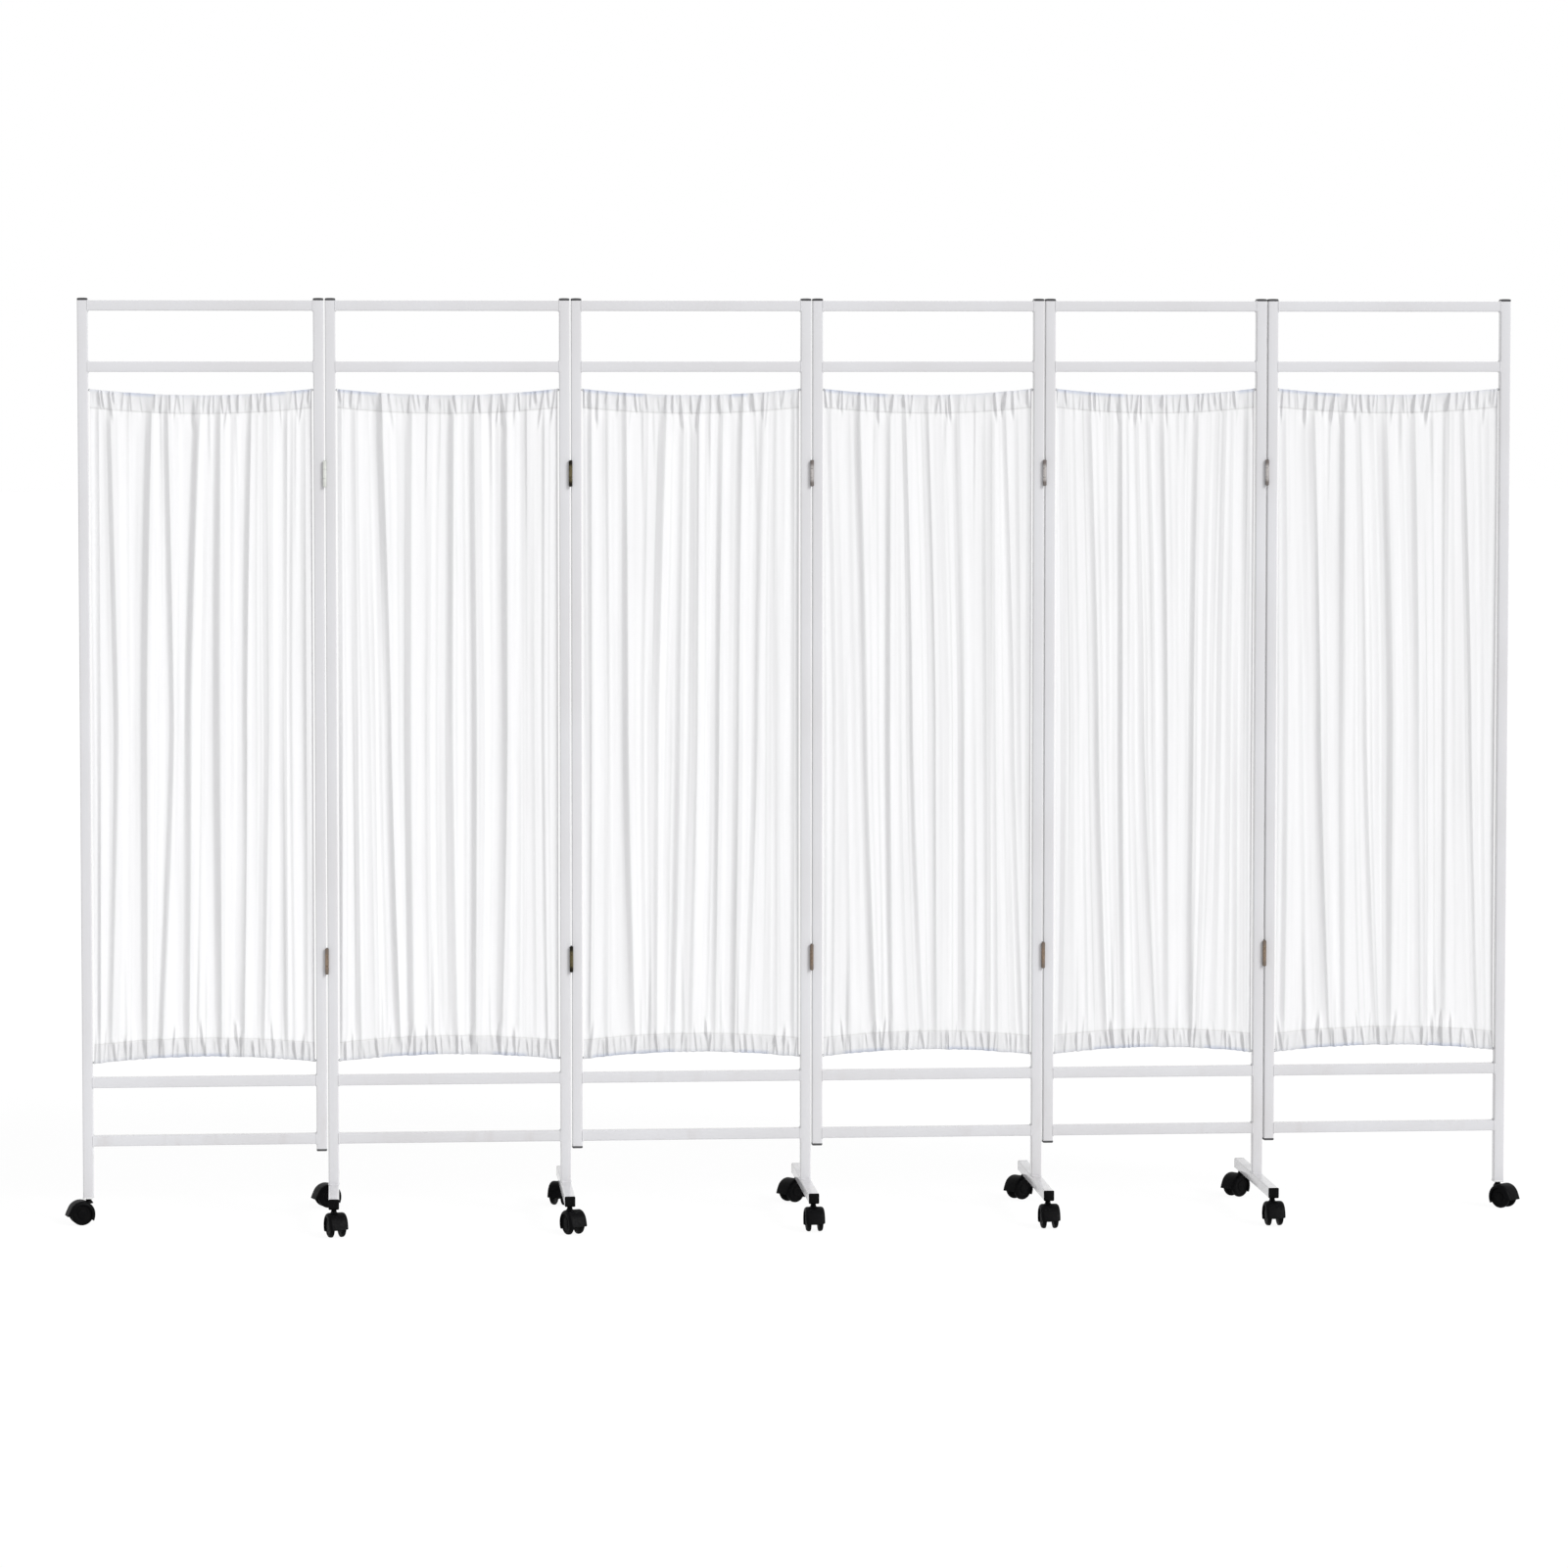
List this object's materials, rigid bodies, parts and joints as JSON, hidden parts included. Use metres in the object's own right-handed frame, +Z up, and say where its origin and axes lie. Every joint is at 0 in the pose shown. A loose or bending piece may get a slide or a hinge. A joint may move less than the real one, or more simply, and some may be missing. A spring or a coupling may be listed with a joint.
{
  "type": "ward privacy screen",
  "caption": "Wheeled folding privacy screen: square-tube panels with gathered curtains, hinged edge to edge, on cross feet and twin-wheel casters.",
  "frame": {"origin": "on the floor, under the middle of the whole screen with its casters as they stand at rest", "axes": "+X to the right along the row of panels, +Y from the hinge side to the back, +Z up"},
  "size_m": [2.8609, 0.412, 1.7942],
  "materials": {
    "frame_paint": "white powder coat with a slight sheen on square steel tube",
    "curtain_cloth": "thin white woven polyester, matt, gathered",
    "hinge_bronze": "dull bronzed steel",
    "caster_plastic": "black moulded plastic, fine grain",
    "wheel_nylon": "black nylon wheel, worn smooth on its tread"
  },
  "bodies": {
    "panel_1": {"panel_1_frame": "frame_paint", "panel_1_curtain": "curtain_cloth", "seam_1_upper_hinge_left_leaf": "hinge_bronze", "seam_1_lower_hinge_left_leaf": "hinge_bronze"},
    "panel_2": {"panel_2_frame": "frame_paint", "panel_2_curtain": "curtain_cloth", "seam_1_upper_hinge_right_leaf": "hinge_bronze", "seam_1_lower_hinge_right_leaf": "hinge_bronze", "seam_2_upper_hinge_left_leaf": "hinge_bronze", "seam_2_lower_hinge_left_leaf": "hinge_bronze"},
    "panel_3": {"panel_3_frame": "frame_paint", "panel_3_curtain": "curtain_cloth", "seam_2_upper_hinge_right_leaf": "hinge_bronze", "seam_2_lower_hinge_right_leaf": "hinge_bronze", "seam_3_upper_hinge_left_leaf": "hinge_bronze", "seam_3_lower_hinge_left_leaf": "hinge_bronze"},
    "panel_4": {"panel_4_frame": "frame_paint", "panel_4_curtain": "curtain_cloth", "seam_3_upper_hinge_right_leaf": "hinge_bronze", "seam_3_lower_hinge_right_leaf": "hinge_bronze", "seam_4_upper_hinge_left_leaf": "hinge_bronze", "seam_4_lower_hinge_left_leaf": "hinge_bronze"},
    "panel_5": {"panel_5_frame": "frame_paint", "panel_5_curtain": "curtain_cloth", "seam_4_upper_hinge_right_leaf": "hinge_bronze", "seam_4_lower_hinge_right_leaf": "hinge_bronze", "seam_5_upper_hinge_left_leaf": "hinge_bronze", "seam_5_lower_hinge_left_leaf": "hinge_bronze"},
    "panel_6": {"panel_6_frame": "frame_paint", "panel_6_curtain": "curtain_cloth", "seam_5_upper_hinge_right_leaf": "hinge_bronze", "seam_5_lower_hinge_right_leaf": "hinge_bronze"},
    "swivel_left_end": {"caster_left_end_hood": "caster_plastic"},
    "wheels_left_end": {"caster_left_end_wheels": "wheel_nylon"},
    "swivel_seam_1_front": {"caster_seam_1_front_hood": "caster_plastic"},
    "wheels_seam_1_front": {"caster_seam_1_front_wheels": "wheel_nylon"},
    "swivel_seam_1_rear": {"caster_seam_1_rear_hood": "caster_plastic"},
    "wheels_seam_1_rear": {"caster_seam_1_rear_wheels": "wheel_nylon"},
    "swivel_seam_2_front": {"caster_seam_2_front_hood": "caster_plastic"},
    "wheels_seam_2_front": {"caster_seam_2_front_wheels": "wheel_nylon"},
    "swivel_seam_2_rear": {"caster_seam_2_rear_hood": "caster_plastic"},
    "wheels_seam_2_rear": {"caster_seam_2_rear_wheels": "wheel_nylon"},
    "swivel_seam_3_front": {"caster_seam_3_front_hood": "caster_plastic"},
    "wheels_seam_3_front": {"caster_seam_3_front_wheels": "wheel_nylon"},
    "swivel_seam_3_rear": {"caster_seam_3_rear_hood": "caster_plastic"},
    "wheels_seam_3_rear": {"caster_seam_3_rear_wheels": "wheel_nylon"},
    "swivel_seam_4_front": {"caster_seam_4_front_hood": "caster_plastic"},
    "wheels_seam_4_front": {"caster_seam_4_front_wheels": "wheel_nylon"},
    "swivel_seam_4_rear": {"caster_seam_4_rear_hood": "caster_plastic"},
    "wheels_seam_4_rear": {"caster_seam_4_rear_wheels": "wheel_nylon"},
    "swivel_seam_5_front": {"caster_seam_5_front_hood": "caster_plastic"},
    "wheels_seam_5_front": {"caster_seam_5_front_wheels": "wheel_nylon"},
    "swivel_seam_5_rear": {"caster_seam_5_rear_hood": "caster_plastic"},
    "wheels_seam_5_rear": {"caster_seam_5_rear_wheels": "wheel_nylon"},
    "swivel_right_end": {"caster_right_end_hood": "caster_plastic"},
    "wheels_right_end": {"caster_right_end_wheels": "wheel_nylon"}
  },
  "joints": [
    {"name": "seam_1_fold", "type": "hinge", "parent": "panel_2", "child": "panel_1", "pos_m": [-0.92465, -0.00234, 0.98522], "axis": [0, 0, 1], "range_deg": [0, 110]},
    {"name": "seam_2_fold", "type": "hinge", "parent": "panel_2", "child": "panel_3", "pos_m": [-0.44875, -0.00234, 0.98522], "axis": [0, 0, 1], "range_deg": [-110, 0]},
    {"name": "seam_3_fold", "type": "hinge", "parent": "panel_3", "child": "panel_4", "pos_m": [0.02215, -0.00234, 0.98522], "axis": [0, 0, -1], "range_deg": [0, 110]},
    {"name": "seam_4_fold", "type": "hinge", "parent": "panel_4", "child": "panel_5", "pos_m": [0.47905, -0.00234, 0.98522], "axis": [0, 0, 1], "range_deg": [-110, 0]},
    {"name": "seam_5_fold", "type": "hinge", "parent": "panel_5", "child": "panel_6", "pos_m": [0.91895, -0.00234, 0.98522], "axis": [0, 0, -1], "range_deg": [0, 110]},
    {"name": "caster_left_end_swivel", "type": "hinge", "parent": "panel_1", "child": "swivel_left_end", "pos_m": [-1.3891, 0.01146, 0.054], "axis": [0, 0, 1], "continuous": true},
    {"name": "caster_left_end_roll", "type": "hinge", "parent": "swivel_left_end", "child": "wheels_left_end", "pos_m": [-1.40359, 0.00758, 0.02222], "axis": [0.2588, -0.9659, 0], "continuous": true},
    {"name": "caster_seam_1_front_swivel", "type": "hinge", "parent": "panel_2", "child": "swivel_seam_1_front", "pos_m": [-0.9132, -0.16354, 0.054], "axis": [0, 0, 1], "continuous": true},
    {"name": "caster_seam_1_front_roll", "type": "hinge", "parent": "swivel_seam_1_front", "child": "wheels_seam_1_front", "pos_m": [-0.90931, -0.17803, 0.02222], "axis": [0.9659, 0.2588, 0], "continuous": true},
    {"name": "caster_seam_1_rear_swivel", "type": "hinge", "parent": "panel_2", "child": "swivel_seam_1_rear", "pos_m": [-0.9132, 0.18646, 0.054], "axis": [0, 0, 1], "continuous": true},
    {"name": "caster_seam_1_rear_roll", "type": "hinge", "parent": "swivel_seam_1_rear", "child": "wheels_seam_1_rear", "pos_m": [-0.92729, 0.18133, 0.02222], "axis": [0.342, -0.9397, 0], "continuous": true},
    {"name": "caster_seam_2_front_swivel", "type": "hinge", "parent": "panel_2", "child": "swivel_seam_2_front", "pos_m": [-0.4602, -0.16354, 0.054], "axis": [0, 0, 1], "continuous": true},
    {"name": "caster_seam_2_front_roll", "type": "hinge", "parent": "swivel_seam_2_front", "child": "wheels_seam_2_front", "pos_m": [-0.45434, -0.17735, 0.02222], "axis": [0.9205, 0.3907, 0], "continuous": true},
    {"name": "caster_seam_2_rear_swivel", "type": "hinge", "parent": "panel_2", "child": "swivel_seam_2_rear", "pos_m": [-0.4602, 0.18646, 0.054], "axis": [0, 0, 1], "continuous": true},
    {"name": "caster_seam_2_rear_roll", "type": "hinge", "parent": "swivel_seam_2_rear", "child": "wheels_seam_2_rear", "pos_m": [-0.46533, 0.17236, 0.02222], "axis": [0.9397, -0.342, 0], "continuous": true},
    {"name": "caster_seam_3_front_swivel", "type": "hinge", "parent": "panel_3", "child": "swivel_seam_3_front", "pos_m": [0.0107, -0.16354, 0.054], "axis": [0, 0, 1], "continuous": true},
    {"name": "caster_seam_3_front_roll", "type": "hinge", "parent": "swivel_seam_3_front", "child": "wheels_seam_3_front", "pos_m": [0.01123, -0.17853, 0.02222], "axis": [0.9994, 0.0349, 0], "continuous": true},
    {"name": "caster_seam_3_rear_swivel", "type": "hinge", "parent": "panel_3", "child": "swivel_seam_3_rear", "pos_m": [0.0107, 0.18646, 0.054], "axis": [0, 0, 1], "continuous": true},
    {"name": "caster_seam_3_rear_roll", "type": "hinge", "parent": "swivel_seam_3_rear", "child": "wheels_seam_3_rear", "pos_m": [-0.00112, 0.17722, 0.02222], "axis": [0.6157, -0.788, 0], "continuous": true},
    {"name": "caster_seam_4_front_swivel", "type": "hinge", "parent": "panel_4", "child": "swivel_seam_4_front", "pos_m": [0.4676, -0.16354, 0.054], "axis": [0, 0, 1], "continuous": true},
    {"name": "caster_seam_4_front_roll", "type": "hinge", "parent": "swivel_seam_4_front", "child": "wheels_seam_4_front", "pos_m": [0.46813, -0.17853, 0.02222], "axis": [0.9994, 0.0349, 0], "continuous": true},
    {"name": "caster_seam_4_rear_swivel", "type": "hinge", "parent": "panel_4", "child": "swivel_seam_4_rear", "pos_m": [0.4676, 0.18646, 0.054], "axis": [0, 0, 1], "continuous": true},
    {"name": "caster_seam_4_rear_roll", "type": "hinge", "parent": "swivel_seam_4_rear", "child": "wheels_seam_4_rear", "pos_m": [0.45578, 0.17722, 0.02222], "axis": [0.6157, -0.788, 0], "continuous": true},
    {"name": "caster_seam_5_front_swivel", "type": "hinge", "parent": "panel_5", "child": "swivel_seam_5_front", "pos_m": [0.9075, -0.16354, 0.054], "axis": [0, 0, 1], "continuous": true},
    {"name": "caster_seam_5_front_roll", "type": "hinge", "parent": "swivel_seam_5_front", "child": "wheels_seam_5_front", "pos_m": [0.90803, -0.17853, 0.02222], "axis": [0.9994, 0.0349, 0], "continuous": true},
    {"name": "caster_seam_5_rear_swivel", "type": "hinge", "parent": "panel_5", "child": "swivel_seam_5_rear", "pos_m": [0.9075, 0.18646, 0.054], "axis": [0, 0, 1], "continuous": true},
    {"name": "caster_seam_5_rear_roll", "type": "hinge", "parent": "swivel_seam_5_rear", "child": "wheels_seam_5_rear", "pos_m": [0.89568, 0.17722, 0.02222], "axis": [0.6157, -0.788, 0], "continuous": true},
    {"name": "caster_right_end_swivel", "type": "hinge", "parent": "panel_6", "child": "swivel_right_end", "pos_m": [1.3924, 0.01146, 0.054], "axis": [0, 0, 1], "continuous": true},
    {"name": "caster_right_end_roll", "type": "hinge", "parent": "swivel_right_end", "child": "wheels_right_end", "pos_m": [1.40204, -0.00003, 0.02222], "axis": [0.766, 0.6428, 0], "continuous": true}
  ]
}
